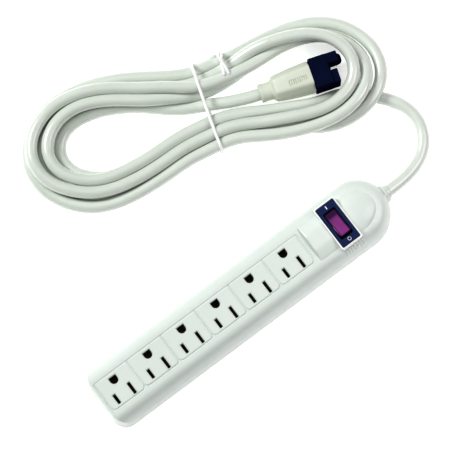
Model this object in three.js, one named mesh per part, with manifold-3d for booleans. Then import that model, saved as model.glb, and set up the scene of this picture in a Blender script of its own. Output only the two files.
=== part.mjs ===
// A six-outlet power strip with a lighted switch-breaker, its tied 14-gauge lead and its capped plug.
// Millimetres, +Z up. The strip lies along X with its lead leaving at +X, the ground holes are towards +Y,
// and the origin is under the middle of the housing, on the surface that it stands on.
import * as THREE from "three";
import { mergeVertices } from "three/addons/utils/BufferGeometryUtils.js";
import Module from "manifold-3d";

const wasm = await Module();
wasm.setup();

// Driving dimensions.
const GAP = 0.3; // left between pieces that touch
const HALF_LENGTH = 121;
const HALF_WIDTH = 23.3;
const FACE_Z = 28; // outlet face
const WALL = 2.2;
const FLOOR_Z = 2.4; // inside of the base cover
const SEAM_Z = 7;
const SHOULDER_WIDTH = 9.5;
const SHOULDER_HEIGHT = 15;
const CORNER_RADIUS = 11;
const END_CENTRE_X = 96; // centre of the round end
const OUTLETS = 6;
const OUTLET_PITCH = 28.63;
const FIRST_OUTLET_X = -105.3;
const BLADE_LINE_Y = -5.5;
const GROUND_Y = 6.4;
const BLADE_OFFSET = 6.35; // half the distance between the two blades
const SLOT_WIDTH = 2.2;
const SHORT_SLOT = 7.2;
const LONG_SLOT = 8.9;
const PAD_LEFT_X = 56;
const PAD_CHORD_X = 90.5;
const PAD_TIP_X = 109.5;
const PAD_HALF_WIDTH = 14;
const PAD_Z = 31.5;
const SWITCH_X = 79.5;
const FRAME_Z = 33;
const PLATE = { length: 31.4, width: 14.2, top: 32.4, thickness: 1.4 };
const FRAME_WALL = 1.1;
const FRAME_BOTTOM_Z = 20;
const ROCKER_PIVOT_Z = 29.4;
const ROCKER_TILT = 11; // degrees either side of level
const BRIDGE_TILT = 8;
const CORD_RADIUS = 4.3;
const CORD_EXIT_Z = 11;
const HANK_HEIGHT = 17.6;
const HANK_CROSSING_HEIGHT = 26; // where the turns cross over each other and over the cap
const PLUG = { x: 128.85, y: 94.3, z: 12.1, turn: -18.3, length: 37.2 };

const outletXs = Array.from({ length: OUTLETS }, (_, i) => FIRST_OUTLET_X + i * OUTLET_PITCH);

// ---- solids ----------------------------------------------------------------

// A closed three.js geometry as a solid with its faces pointing out.
function solidOf(geometry) {
  const bare = new THREE.BufferGeometry();
  bare.setAttribute("position", geometry.getAttribute("position"));
  bare.setIndex(geometry.index);
  const merged = mergeVertices(bare, 1e-4);
  const index = merged.index.array;
  const make = (flip) => {
    const triVerts = [];
    for (let i = 0; i < index.length; i += 3) {
      const [a, b, c] = [index[i], index[i + 1], index[i + 2]];
      if (a === b || b === c || c === a) continue;
      triVerts.push(a, flip ? c : b, flip ? b : c);
    }
    return new wasm.Manifold(
      new wasm.Mesh({
        numProp: 3,
        vertProperties: new Float32Array(merged.getAttribute("position").array),
        triVerts: new Uint32Array(triVerts),
      }),
    );
  };
  const solid = make(false);
  return solid.volume() > 0 ? solid : make(true);
}

function geometryOf(solid) {
  const { vertProperties, triVerts } = solid.getMesh();
  const geometry = new THREE.BufferGeometry();
  geometry.setAttribute("position", new THREE.BufferAttribute(new Float32Array(vertProperties), 3));
  geometry.setIndex(new THREE.BufferAttribute(new Uint32Array(triVerts), 1));
  geometry.computeVertexNormals();
  return geometry;
}

const join = (...solids) => solids.reduce((whole, next) => whole.add(next));
const cut = (solid, ...tools) => tools.reduce((left, tool) => left.subtract(tool), solid);

function box(x0, x1, y0, y1, z0, z1) {
  const geometry = new THREE.BoxGeometry(x1 - x0, y1 - y0, z1 - z0);
  geometry.translate((x0 + x1) / 2, (y0 + y1) / 2, (z0 + z1) / 2);
  return solidOf(geometry);
}

// An upright round bar.
function post(x, y, radius, z0, z1, sides = 12) {
  const geometry = new THREE.CylinderGeometry(radius, radius, z1 - z0, sides);
  geometry.rotateX(Math.PI / 2);
  geometry.translate(x, y, (z0 + z1) / 2);
  return solidOf(geometry);
}

// A round bar along X.
function axle(x0, x1, radius, y, z, sides = 16) {
  const geometry = new THREE.CylinderGeometry(radius, radius, x1 - x0, sides);
  geometry.rotateZ(Math.PI / 2);
  geometry.translate((x0 + x1) / 2, y, z);
  return solidOf(geometry);
}

// A body turned about X from [x, radius] pairs that start and end on the axis.
function turned(profile, y, z, sides = 16) {
  const points = profile.map(([x, radius]) => new THREE.Vector2(radius, x));
  const geometry = new THREE.LatheGeometry(points, sides);
  geometry.rotateZ(-Math.PI / 2);
  geometry.translate(0, y, z);
  return solidOf(geometry);
}

// An upright prism on a plan shape, with an optional rounded edge that grows the shape outwards.
function prism(shape, z0, z1, rounding = null) {
  const bevel = rounding
    ? {
        bevelEnabled: true,
        bevelSize: rounding.size,
        bevelThickness: rounding.height,
        bevelSegments: rounding.steps,
      }
    : { bevelEnabled: false };
  const height = z1 - z0 - (rounding ? 2 * rounding.height : 0);
  const geometry = new THREE.ExtrudeGeometry(shape, { depth: height, ...bevel });
  geometry.translate(0, 0, z0 + (rounding ? rounding.height : 0));
  return solidOf(geometry);
}

// A tube of the given radius along a smooth line through [x, y, z] points.
function tube(points, radius, steps, sides = 8) {
  const path = new THREE.CatmullRomCurve3(points.map((p) => new THREE.Vector3(...p)), false, "centripetal");
  const section = new THREE.Shape(arc(0, 0, radius, radius, 0, 360, sides).slice(0, sides));
  return solidOf(new THREE.ExtrudeGeometry(section, { steps, bevelEnabled: false, extrudePath: path }));
}

// A closed body through rings, each { at, wide, high, power } : a superellipse across X at x = at.
function loft(rings, around = 20) {
  const positions = [];
  const index = [];
  for (const { at, wide, high, power } of rings) {
    for (let i = 0; i < around; i += 1) {
      const angle = (2 * Math.PI * i) / around;
      const across = Math.sign(Math.cos(angle)) * Math.abs(Math.cos(angle)) ** (2 / power);
      const up = Math.sign(Math.sin(angle)) * Math.abs(Math.sin(angle)) ** (2 / power);
      positions.push(at, (wide / 2) * across, (high / 2) * up);
    }
  }
  const first = positions.length / 3;
  const last = first + 1;
  positions.push(rings[0].at, 0, 0, rings[rings.length - 1].at, 0, 0);
  for (let i = 0; i < around; i += 1) {
    const next = (i + 1) % around;
    for (let ring = 0; ring + 1 < rings.length; ring += 1) {
      const here = ring * around;
      index.push(here + i, here + next, here + around + i);
      index.push(here + next, here + around + next, here + around + i);
    }
    const end = (rings.length - 1) * around;
    index.push(first, next, i, last, end + i, end + next);
  }
  const geometry = new THREE.BufferGeometry();
  geometry.setAttribute("position", new THREE.Float32BufferAttribute(positions, 3));
  geometry.setIndex(index);
  return solidOf(geometry);
}

// ---- plan outlines ---------------------------------------------------------

function arc(x, y, radiusX, radiusY, from, to, steps) {
  return Array.from({ length: steps + 1 }, (_, i) => {
    const angle = THREE.MathUtils.degToRad(from + ((to - from) * i) / steps);
    return new THREE.Vector2(x + radiusX * Math.cos(angle), y + radiusY * Math.sin(angle));
  });
}

// The housing: a rounded square end at -X and a half-round end at +X.
function housingOutline(inset, squareEndX = -HALF_LENGTH) {
  const half = HALF_WIDTH - inset;
  const left = squareEndX + inset;
  const corner = Math.max(CORNER_RADIUS - inset, 1);
  return new THREE.Shape([
    ...arc(END_CENTRE_X, 0, half, half, -90, 90, 16),
    ...arc(left + corner, half - corner, corner, corner, 90, 180, 5),
    ...arc(left + corner, -half + corner, corner, corner, 180, 270, 5),
  ]);
}

// The raised pad round the switch: square at -X, half an ellipse at +X.
function padOutline(inset) {
  const half = PAD_HALF_WIDTH - inset;
  return new THREE.Shape([
    new THREE.Vector2(PAD_LEFT_X - 10, -half),
    ...arc(PAD_CHORD_X, 0, PAD_TIP_X - PAD_CHORD_X - inset, half, -90, 90, 12),
    new THREE.Vector2(PAD_LEFT_X - 10, half),
  ]);
}

function roundedRectangle(x, y, lengthX, lengthY, corner) {
  const [a, b] = [lengthX / 2 - corner, lengthY / 2 - corner];
  return new THREE.Shape([
    ...arc(x + a, y + b, corner, corner, 0, 90, 3),
    ...arc(x - a, y + b, corner, corner, 90, 180, 3),
    ...arc(x - a, y - b, corner, corner, 180, 270, 3),
    ...arc(x + a, y - b, corner, corner, 270, 360, 3),
  ]);
}

// ---- materials -------------------------------------------------------------

const finish = (color, roughness, metalness = 0) =>
  new THREE.MeshStandardMaterial({ color, roughness, metalness });

const MATERIALS = {
  housing: () => finish(0xe9ece6, 0.42),
  frame: () => finish(0xf6f7f6, 0.3),
  plate: () => finish(0x14183f, 0.38),
  rocker: () => finish(0x9a1f52, 0.2),
  switchBody: () => finish(0x1c1c1e, 0.5),
  brass: () => finish(0xb8973f, 0.32, 1),
  steel: () => finish(0xa9abad, 0.35, 1),
  lamp: () => finish(0xf0a884, 0.1),
  blackWire: () => finish(0x1a1a1a, 0.5),
  whiteWire: () => finish(0xe8e8e4, 0.5),
  greenWire: () => finish(0x1f7a3d, 0.5),
  cord: () => finish(0xd7dbd2, 0.5),
  plug: () => finish(0xdcdccb, 0.45),
  cap: () => finish(0x11142e, 0.4),
  tie: () => finish(0xf8f8f8, 0.35),
};

const strip = new THREE.Group();

function add(name, solid, material, parent = strip) {
  const mesh = new THREE.Mesh(geometryOf(solid), MATERIALS[material]());
  mesh.name = name;
  parent.add(mesh);
  return mesh;
}

// ---- housing ---------------------------------------------------------------

const SCREWS = [-110, -33.7, 68].flatMap((x) => [-17.8, 17.8].map((y) => ({ x, y })));
const SCREW = { shank: 1.15, pilot: 1.45, head: 2.8, headBottom: 0.8, headTop: 2.8, tip: 16, bossTop: 19.5 };
const NECK_RADIUS = 6.6;
const NECK_BORE = 5.6;
const KEYHOLES = [-62.4, 23.5];
const KEYHOLE = { entry: 4.3, slot: 2.2, reach: 9 };

// The housing's outer shape, or the space inside it when it is inset by the wall.
function housingBody(inset) {
  const shoulder = { size: SHOULDER_WIDTH, height: SHOULDER_HEIGHT, steps: 5 };
  const edge = { size: 2.5, height: 4, steps: 2 };
  const top = FACE_Z - inset;
  const under = -30;
  const shouldered = prism(housingOutline(inset + SHOULDER_WIDTH, -HALF_LENGTH - 40), under, top, shoulder);
  return shouldered.intersect(prism(housingOutline(inset + edge.size), under, top, edge));
}

function pad(inset) {
  const rounding = { size: 3, height: 3.5, steps: 3 };
  const whole = prism(padOutline(inset + rounding.size), 12, PAD_Z - inset, rounding);
  return cut(whole, box(0, PAD_LEFT_X + inset, -30, 30, 0, 40));
}

// A ground hole: flat towards +Y, half round towards the blades.
function groundHole(x) {
  const shape = new THREE.Shape([
    ...arc(x, GROUND_Y - 0.1, 2.9, 2.9, 180, 360, 8),
    new THREE.Vector2(x + 2.9, GROUND_Y + 2.4),
    new THREE.Vector2(x - 2.9, GROUND_Y + 2.4),
  ]);
  return prism(shape, FACE_Z - 5, FACE_Z + 1);
}

function bladeSlot(x, length) {
  const half = SLOT_WIDTH / 2;
  const [y0, y1] = [BLADE_LINE_Y - length / 2, BLADE_LINE_Y + length / 2];
  return box(x - half, x + half, y0, y1, FACE_Z - 5, FACE_Z + 1);
}

function topCover() {
  const neck = axle(END_CENTRE_X + 12, HALF_LENGTH, NECK_RADIUS, 0, CORD_EXIT_Z);
  const outside = join(housingBody(0), pad(0), neck);
  const inside = join(housingBody(WALL), pad(WALL));
  const bosses = SCREWS.map(({ x, y }) => post(x, y, 3, SEAM_Z - 2, SCREW.bossTop));
  const pilots = SCREWS.map(({ x, y }) => post(x, y, SCREW.pilot, 0, SCREW.tip + 1, 8));
  const holes = outletXs.flatMap((x) => [
    groundHole(x),
    bladeSlot(x - BLADE_OFFSET, SHORT_SLOT),
    bladeSlot(x + BLADE_OFFSET, LONG_SLOT),
  ]);
  const frameHole = box(
    SWITCH_X - PLATE.width / 2 - FRAME_WALL - 2 * GAP,
    SWITCH_X + PLATE.width / 2 + FRAME_WALL + 2 * GAP,
    -PLATE.length / 2 - FRAME_WALL - 2 * GAP,
    PLATE.length / 2 + FRAME_WALL + 2 * GAP,
    FRAME_BOTTOM_Z - 6,
    FRAME_Z + 1,
  );
  const cordBore = axle(END_CENTRE_X, HALF_LENGTH + 5, NECK_BORE, 0, CORD_EXIT_Z);
  const cordSlot = box(END_CENTRE_X, HALF_LENGTH + 5, -NECK_BORE, NECK_BORE, 0, CORD_EXIT_Z);
  const belowSeam = box(-140, 140, -40, 40, -40, SEAM_Z + GAP / 2);
  const shell = join(cut(outside, inside), ...bosses);
  return cut(shell, ...pilots, ...holes, frameHole, cordBore, cordSlot, belowSeam);
}

function keyhole(x) {
  const slot = box(x, x + KEYHOLE.reach, -KEYHOLE.slot, KEYHOLE.slot, -1, FLOOR_Z + 1);
  return join(post(x, 0, KEYHOLE.entry, -1, FLOOR_Z + 1, 16), slot);
}

function baseCover() {
  const top = SEAM_Z - GAP / 2;
  const tray = cut(prism(housingOutline(0), 0, top), prism(housingOutline(WALL), FLOOR_Z, top + 1));
  const collarHalf = NECK_BORE - GAP;
  const collar = box(END_CENTRE_X + 20.5, HALF_LENGTH, -collarHalf, collarHalf, 1.5, CORD_EXIT_Z - 2);
  const neck = axle(END_CENTRE_X + 20.5, HALF_LENGTH, NECK_RADIUS, 0, CORD_EXIT_Z);
  const posts = SCREWS.map(({ x, y }) => post(x, y, 4.2, 1, top));
  const heads = SCREWS.map(({ x, y }) => post(x, y, SCREW.head + GAP, -1, SCREW.headTop + GAP));
  const shanks = SCREWS.map(({ x, y }) => post(x, y, SCREW.pilot, 0, SEAM_Z + 1, 8));
  const lowerNeck = cut(neck, box(90, 140, -20, 20, top, 30));
  const solid = join(tray, lowerNeck, collar, ...posts);
  const outsideWall = cut(prism(housingOutline(-20), 0, top), prism(housingOutline(0), -1, top + 1));
  const trimmed = cut(solid, cut(outsideWall, box(100, 140, -NECK_RADIUS, NECK_RADIUS, -1, 30)));
  const bore = axle(END_CENTRE_X, HALF_LENGTH + 5, NECK_BORE, 0, CORD_EXIT_Z);
  return cut(trimmed, bore, ...heads, ...shanks, ...KEYHOLES.map(keyhole));
}

function screw({ x, y }) {
  const head = post(x, y, SCREW.head, SCREW.headBottom, SCREW.headTop);
  const recess = post(x, y, 1.1, SCREW.headBottom - 1, SCREW.headBottom + 1, 6);
  return cut(join(head, post(x, y, SCREW.shank, SCREW.headTop - 0.5, SCREW.tip, 8)), recess);
}

add("top_cover", topCover(), "housing");
add("base_cover", baseCover(), "housing");
SCREWS.forEach((place, i) => add(`cover_screw_${i + 1}`, screw(place), "steel"));

// ---- switch-breaker --------------------------------------------------------

const BODY = { halfX: 6.3, halfY: 13, top: 30.7, floor: 11.4, bottom: 9.9, wallX: 1.6, wallY: 1.5 };
const PIN = { radius: 1.2, bore: 1.6, halfLength: 5.9 };
const TERMINAL = { halfX: 2.4, halfY: 0.4, bottom: 6.5 };
const TERMINALS = { line: { y: 0, top: 14.8 }, load: { y: -3.6, top: 14.2 }, lamp: { y: 8, top: 14.5 } };

function switchFrame() {
  const outer = roundedRectangle(
    SWITCH_X,
    0,
    PLATE.width + 2 * (FRAME_WALL + GAP),
    PLATE.length + 2 * (FRAME_WALL + GAP),
    1.6,
  );
  const inner = roundedRectangle(SWITCH_X, 0, PLATE.width + 2 * GAP, PLATE.length + 2 * GAP, 0.8);
  return cut(prism(outer, FRAME_BOTTOM_Z, FRAME_Z), prism(inner, FRAME_BOTTOM_Z - 1, FRAME_Z + 1));
}

function switchPlate() {
  const plate = roundedRectangle(SWITCH_X, 0, PLATE.width, PLATE.length, 0.8);
  const opening = roundedRectangle(SWITCH_X, 0, 9.8, 21, 0.6);
  return cut(prism(plate, PLATE.top - PLATE.thickness, PLATE.top), prism(opening, 20, 40));
}

function switchBody() {
  const { halfX: outerX, halfY: outerY } = BODY;
  const outer = box(SWITCH_X - outerX, SWITCH_X + outerX, -outerY, outerY, BODY.bottom, BODY.top);
  const [innerX, innerY] = [outerX - BODY.wallX, outerY - BODY.wallY];
  const inner = box(SWITCH_X - innerX, SWITCH_X + innerX, -innerY, innerY, BODY.floor, BODY.top + 1);
  const pinHole = axle(SWITCH_X - 10, SWITCH_X + 10, PIN.bore, 0, ROCKER_PIVOT_Z);
  const slots = Object.values(TERMINALS).map(({ y }) => {
    const [halfX, halfY] = [TERMINAL.halfX + GAP, TERMINAL.halfY + GAP];
    return box(SWITCH_X - halfX, SWITCH_X + halfX, y - halfY, y + halfY, 5, BODY.floor + 1);
  });
  return cut(outer, inner, pinHole, ...slots);
}

const terminal = ({ y, top }) =>
  box(
    SWITCH_X - TERMINAL.halfX,
    SWITCH_X + TERMINAL.halfX,
    y - TERMINAL.halfY,
    y + TERMINAL.halfY,
    TERMINAL.bottom,
    top,
  );

// The rocker, level and about its own pivot: a shallow V on top and a stem below.
function rocker() {
  const side = new THREE.Shape(
    [
      [9.3, 3.3],
      [0, 1.8],
      [-9.3, 3.3],
      [-9.5, 1.5],
      [-7, -3.5],
      [-2.2, -4],
      [-2.2, -6.5],
      [2.2, -6.5],
      [2.2, -4],
      [7, -3.5],
      [9.5, 1.5],
    ].map(([y, z]) => new THREE.Vector2(y, z)),
  );
  const geometry = new THREE.ExtrudeGeometry(side, { depth: 8.6, bevelEnabled: false });
  geometry.translate(0, 0, -4.3);
  geometry.rotateY(Math.PI / 2);
  geometry.rotateX(Math.PI / 2);
  return join(solidOf(geometry), axle(-PIN.halfLength, PIN.halfLength, PIN.radius, 0, 0, 12));
}

function helix(radius, wire, bottom, top, turns) {
  const points = Array.from({ length: turns * 10 + 1 }, (_, i) => {
    const angle = (2 * Math.PI * i) / 10;
    const z = bottom + ((top - bottom) * i) / (turns * 10);
    return [radius * Math.cos(angle), radius * Math.sin(angle), z];
  });
  return tube(points, wire, turns * 10, 6);
}

const rockerGroup = new THREE.Group();
rockerGroup.position.set(SWITCH_X, 0, ROCKER_PIVOT_Z);
rockerGroup.rotation.x = THREE.MathUtils.degToRad(-ROCKER_TILT);
strip.add(rockerGroup);

const bridgeGroup = new THREE.Group();
bridgeGroup.position.set(SWITCH_X, 0, ROCKER_PIVOT_Z - 13.5);
bridgeGroup.rotation.x = THREE.MathUtils.degToRad(BRIDGE_TILT);
strip.add(bridgeGroup);

add("switch_frame", switchFrame(), "frame");
add("switch_plate", switchPlate(), "plate");
add("switch_body", switchBody(), "switchBody");
add("rocker", rocker(), "rocker", rockerGroup);
add("rocker_plunger", join(post(0, 0, 0.8, -11, -7), post(0, 0, 1.7, -12, -10.9)), "brass", rockerGroup);
add("rocker_spring", helix(1.4, 0.28, -10.3, -7.1, 4), "steel", rockerGroup);
add("contact_bridge", box(-2.6, 2.6, -4.2, 4.2, -0.3, 0.3), "brass", bridgeGroup);
add("switch_terminal_line", terminal(TERMINALS.line), "brass");
add("switch_terminal_load", terminal(TERMINALS.load), "brass");
add("switch_terminal_lamp", terminal(TERMINALS.lamp), "brass");
add("bimetal_strip", box(SWITCH_X - 2, SWITCH_X + 2, 5.6, 6, 11.8, 20), "steel");

const LAMP_PROFILE = [
  [SWITCH_X - 3.8, 0],
  [SWITCH_X - 3.4, 1.3],
  [SWITCH_X - 2.6, 1.8],
  [SWITCH_X + 2.6, 1.8],
  [SWITCH_X + 3.6, 1.2],
  [SWITCH_X + 3.8, 0],
];
add("neon_lamp", turned(LAMP_PROFILE, 9, 19, 10), "lamp");

// ---- contacts and wires ----------------------------------------------------

const BUS = { left: -114, right: 52.5, bottom: 9, top: 15, sheet: 0.8 };

// A rail along X with a spring clip under every hole of its kind.
function busBar(railY, clipYs, clipXs, clipHalfGap, clipTop) {
  const rail = box(BUS.left, BUS.right, railY - BUS.sheet / 2, railY + BUS.sheet / 2, BUS.bottom, BUS.top);
  const [y0, y1] = clipYs;
  const [bridge0, bridge1] = [Math.min(y0, railY), Math.max(y1, railY)];
  const clips = clipXs.flatMap((x) => {
    const outer = clipHalfGap + BUS.sheet;
    return [
      box(x - outer, x + outer, bridge0, bridge1, BUS.bottom, BUS.bottom + BUS.sheet),
      box(x - outer, x - clipHalfGap, y0, y1, BUS.bottom, clipTop),
      box(x + clipHalfGap, x + outer, y0, y1, BUS.bottom, clipTop),
    ];
  });
  return join(rail, ...clips);
}

const hotXs = outletXs.map((x) => x - BLADE_OFFSET);
const neutralXs = outletXs.map((x) => x + BLADE_OFFSET);
const bladeYs = [BLADE_LINE_Y - 4, BLADE_LINE_Y + 4];
add("line_bus_bar", busBar(-13.6, bladeYs, hotXs, 1.1, 22), "brass");
add("neutral_bus_bar", busBar(1.6, [BLADE_LINE_Y - 4.5, BLADE_LINE_Y + 4.5], neutralXs, 1.1, 22), "brass");
add("ground_bus_bar", busBar(13.6, [GROUND_Y - 3.2, GROUND_Y + 3.2], outletXs, 2.5, 20), "brass");

const WIRE_RADIUS = 1.3;
const WIRES = {
  wire_line: {
    material: "blackWire",
    points: [
      [96.8, -2.6, 10],
      [91, -2.6, 6.6],
      [87, -1, 5.2],
      [82.3, 0, 5.2],
    ],
  },
  wire_load: {
    material: "blackWire",
    points: [
      [76.7, -3.6, 5.2],
      [68, -6.5, 5.2],
      [60, -10, 8],
      [54.4, -13.6, 12],
    ],
  },
  wire_neutral: {
    material: "whiteWire",
    points: [
      [96.8, 2.6, 10],
      [91, 4.5, 6],
      [82, 5, 4.9],
      [72, 5, 4.9],
      [62, 3, 7],
      [54.4, 1.6, 12],
    ],
  },
  wire_ground: {
    material: "greenWire",
    points: [
      [96.4, 0, 14],
      [91, 8, 12],
      [86, 11.5, 6],
      [76, 11.5, 4.9],
      [64, 10, 7],
      [57.5, 11.5, 11],
      [54.4, 13.2, 12],
    ],
  },
};
for (const [name, { material, points }] of Object.entries(WIRES)) {
  add(name, tube(points, WIRE_RADIUS, 14), material);
}

// ---- lead ------------------------------------------------------------------

const RELIEF_TIP_X = 123.5;
const RELIEF_PROFILE = [
  [98, 0],
  [98, 5.0],
  [112.5, 5.3],
  [112.5, 7.5],
  [115, 7.5],
  [115, 5.3],
  [120.5, 5.2],
  [RELIEF_TIP_X, 4.8],
  [RELIEF_TIP_X, 0],
];
add("strain_relief", turned(RELIEF_PROFILE, 0, CORD_EXIT_Z), "cord");

// The stretch from the strain relief round to where it goes under the hank.
const LEAD_ROUTE = [
  [RELIEF_TIP_X + GAP, 0, CORD_EXIT_Z],
  [126, 0, 10.95],
  [131, 0.1, 10.0],
  [137, 0.7, 7.9],
  [144, 1.9, 5.7],
  [151, 3.8, 4.6],
  [157.5, 7.2, 4.4],
  [163, 12, 4.4],
  [167.3, 18.2, 4.4],
  [169.9, 25.2, 4.4],
  [170.4, 32.6, 4.4],
  [169, 40, 4.4],
  [165.7, 47, 4.4],
  [161, 53.5, 4.4],
];

// The tied hank seen from above: its outer edge and the two open eyes in its loops.
const HANK_EDGE = [
  [-64, 131],
  [-51, 113],
  [-28, 102],
  [-1, 97],
  [28, 94],
  [61, 86],
  [97, 66],
  [128, 52],
  [152, 53],
  [173, 67],
  [179, 88],
  [169, 116],
  [147, 132],
  [120, 141],
  [83, 146],
  [47, 161],
  [14, 181],
  [-18, 189],
  [-42, 185],
  [-60, 171],
  [-68, 150],
];
const LEFT_EYE = [
  [-39, 154],
  [-31, 163],
  [-18, 164],
  [1, 159],
  [20, 150],
  [44, 131],
  [62, 116.5],
  [44, 119.5],
  [16, 120],
  [-15, 124],
  [-33, 135],
];
const RIGHT_EYE = [
  [75, 119],
  [98, 119.5],
  [124, 116.5],
  [143, 110],
  [152, 98],
  [151, 86],
  [141, 79],
  [126, 80.5],
  [109, 88],
  [90, 100],
  [76, 108.5],
];

const smoothLoop = (points, steps) =>
  new THREE.CatmullRomCurve3(points.map(([x, y]) => new THREE.Vector3(x, y, 0)), true, "centripetal")
    .getPoints(steps)
    .slice(0, steps)
    .map(({ x, y }) => new THREE.Vector2(x, y));

const PLUG_LEAD_ROUTE = [
  [73.5, 115, 8.6],
  [77.5, 113, 9.4],
  [82, 110.7, 10.7],
  [87, 108.25, 11.8],
  [92.7, 106.25, 12.1],
];

// A wire tie round the waist of the hank, with its twisted ends standing on the upper bundle.
const TIE_RADIUS = 0.9;
const TIE_ROUTE = [
  [84.9, 130.6, 18.9],
  [85.9, 137, 19.6],
  [87.8, 144.5, 17.5],
  [88, 147, 9],
  [85, 146, 2.4],
  [74, 141.5, 1.2],
  [66, 136, 1.2],
  [58, 112, 1.2],
  [50.5, 92.5, 2],
  [46.8, 87.6, 9],
  [48, 89.6, 18],
  [53, 104, 19],
  [62, 132, 19],
  [66.6, 145.4, 18.2],
  [69.2, 151, 8],
  [75, 149.8, 4.8],
  [81.5, 148, 6.4],
  [85, 145.6, 16],
  [83.5, 139.5, 20.2],
  [82.2, 133.5, 19.4],
];

// A solid in the plug's frame (its face at x = 0, blades towards +X) put where the plug lies.
const atPlug = (solid) => solid.rotate([0, 0, PLUG.turn]).translate([PLUG.x, PLUG.y, PLUG.z]);

const BLADE = { y: -6.2, z: 6.35, width: 6.35, thickness: 1.5, length: 16.4 };
const GROUND_PIN = { y: 5.7, radius: 2.38, length: 20.3 };
const CAP = {
  halfWidth: 10.65,
  halfHeight: 11.5,
  blockLength: 13,
  sleeveLength: 17.9,
  groundLength: 23.5,
  groundY: 6.3,
  groundRadius: 4.2,
};

const PLUG_RINGS = [
  { at: -PLUG.length, wide: 12.2, high: 12.2, power: 2 },
  { at: -PLUG.length + 0.8, wide: 12.6, high: 12.6, power: 2 },
  { at: -29.6, wide: 12.8, high: 13, power: 2.2 },
  { at: -28.4, wide: 12.4, high: 13, power: 2.3 },
  { at: -25.5, wide: 16.2, high: 16.8, power: 2.8 },
  { at: -20, wide: 18.7, high: 20, power: 3.6 },
  { at: -12, wide: 20.5, high: 22.6, power: 4.2 },
  { at: -4, wide: 21.4, high: 23.8, power: 4.6 },
  { at: -0.4, wide: 21.7, high: 24, power: 4.8 },
  { at: 0, wide: 21.2, high: 23.6, power: 4.8 },
];

function plugCap() {
  const blades = [-1, 1].map((side) =>
    box(
      0,
      BLADE.length + 0.7,
      BLADE.y - BLADE.width / 2 - 0.4,
      BLADE.y + BLADE.width / 2 + 0.4,
      side * BLADE.z - BLADE.thickness / 2 - 0.4,
      side * BLADE.z + BLADE.thickness / 2 + 0.4,
    ),
  );
  const pin = axle(0, GROUND_PIN.length + 1, GROUND_PIN.radius + 0.45, GROUND_PIN.y, 0, 12);
  const block = box(GAP, CAP.blockLength, -CAP.halfWidth, CAP.halfWidth, -CAP.halfHeight, CAP.halfHeight);
  const bladeSleeve = box(GAP, CAP.sleeveLength, -CAP.halfWidth, -1.85, -10.4, 10.4);
  const web = box(GAP, CAP.sleeveLength - 0.5, -0.45, 3, -5, 5);
  const groundSleeve = axle(GAP, CAP.groundLength, CAP.groundRadius, CAP.groundY, 0);
  return cut(join(block, bladeSleeve, web, groundSleeve), ...blades, pin);
}

function cordHank() {
  const outline = new THREE.Shape(smoothLoop(HANK_EDGE, 72));
  outline.holes = [LEFT_EYE, RIGHT_EYE].map((eye) => new THREE.Path(smoothLoop(eye, 36)));
  const lying = prism(outline, 0.1, HANK_HEIGHT);
  const crossing = prism(outline, 0.1, HANK_CROSSING_HEIGHT).intersect(box(90, 200, 0, 200, 0, 40));
  const plugRoom = box(-40, CAP.blockLength, -11.2, 11.2, -12.1, 13);
  const sleeveRoom = axle(0, CAP.groundLength + GAP, CAP.groundRadius + GAP, CAP.groundY, 0);
  const bladeRoom = box(0, CAP.sleeveLength + GAP, -CAP.halfWidth - GAP, 3.3, -11, 11);
  return cut(
    join(lying, crossing),
    tube(LEAD_ROUTE, CORD_RADIUS + GAP, 40, 12),
    tube(PLUG_LEAD_ROUTE, CORD_RADIUS + GAP, 10, 12),
    tube(TIE_ROUTE, TIE_RADIUS + 0.4, 60, 6),
    atPlug(join(plugRoom, sleeveRoom, bladeRoom)),
  );
}

add("cord_lead", tube(LEAD_ROUTE, CORD_RADIUS, 40, 12), "cord");
add("cord_hank", cordHank(), "cord");
add("cord_plug_lead", tube(PLUG_LEAD_ROUTE, CORD_RADIUS, 8, 12), "cord");
add("cord_tie", tube(TIE_ROUTE, TIE_RADIUS, 60, 6), "tie");

const plug = new THREE.Group();
plug.position.set(PLUG.x, PLUG.y, PLUG.z);
plug.rotation.z = THREE.MathUtils.degToRad(PLUG.turn);
strip.add(plug);
add("plug_body", loft(PLUG_RINGS), "plug", plug);
add("plug_cap", plugCap(), "cap", plug);
for (const [name, side] of [
  ["plug_blade_line", -1],
  ["plug_blade_neutral", 1],
]) {
  const z = side * BLADE.z;
  const half = BLADE.thickness / 2;
  const [y0, y1] = [BLADE.y - BLADE.width / 2, BLADE.y + BLADE.width / 2];
  const blade = box(GAP, BLADE.length, y0, y1, z - half, z + half);
  add(name, blade, "brass", plug);
}
const PIN_PROFILE = [
  [GAP, 0],
  [GAP, GROUND_PIN.radius],
  [GROUND_PIN.length - 2, GROUND_PIN.radius],
  [GROUND_PIN.length - 0.6, GROUND_PIN.radius * 0.7],
  [GROUND_PIN.length, 0],
];
add("plug_ground_pin", turned(PIN_PROFILE, GROUND_PIN.y, 0, 12), "brass", plug);

export default strip;
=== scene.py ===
import math

import bmesh
import bpy
import numpy as np
from mathutils import Matrix, Vector


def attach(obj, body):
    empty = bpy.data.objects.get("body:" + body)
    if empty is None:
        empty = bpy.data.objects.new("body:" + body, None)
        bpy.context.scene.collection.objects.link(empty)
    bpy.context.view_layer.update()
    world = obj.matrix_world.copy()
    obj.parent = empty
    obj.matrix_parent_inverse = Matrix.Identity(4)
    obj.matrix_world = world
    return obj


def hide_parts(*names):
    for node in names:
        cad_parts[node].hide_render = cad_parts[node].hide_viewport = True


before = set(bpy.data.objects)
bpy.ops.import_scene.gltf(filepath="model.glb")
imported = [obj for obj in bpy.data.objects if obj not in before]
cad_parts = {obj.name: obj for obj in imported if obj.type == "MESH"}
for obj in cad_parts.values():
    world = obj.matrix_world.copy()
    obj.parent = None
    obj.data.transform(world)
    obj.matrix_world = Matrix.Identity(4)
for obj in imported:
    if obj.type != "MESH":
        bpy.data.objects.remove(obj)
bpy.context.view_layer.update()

MM = 0.001
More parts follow.
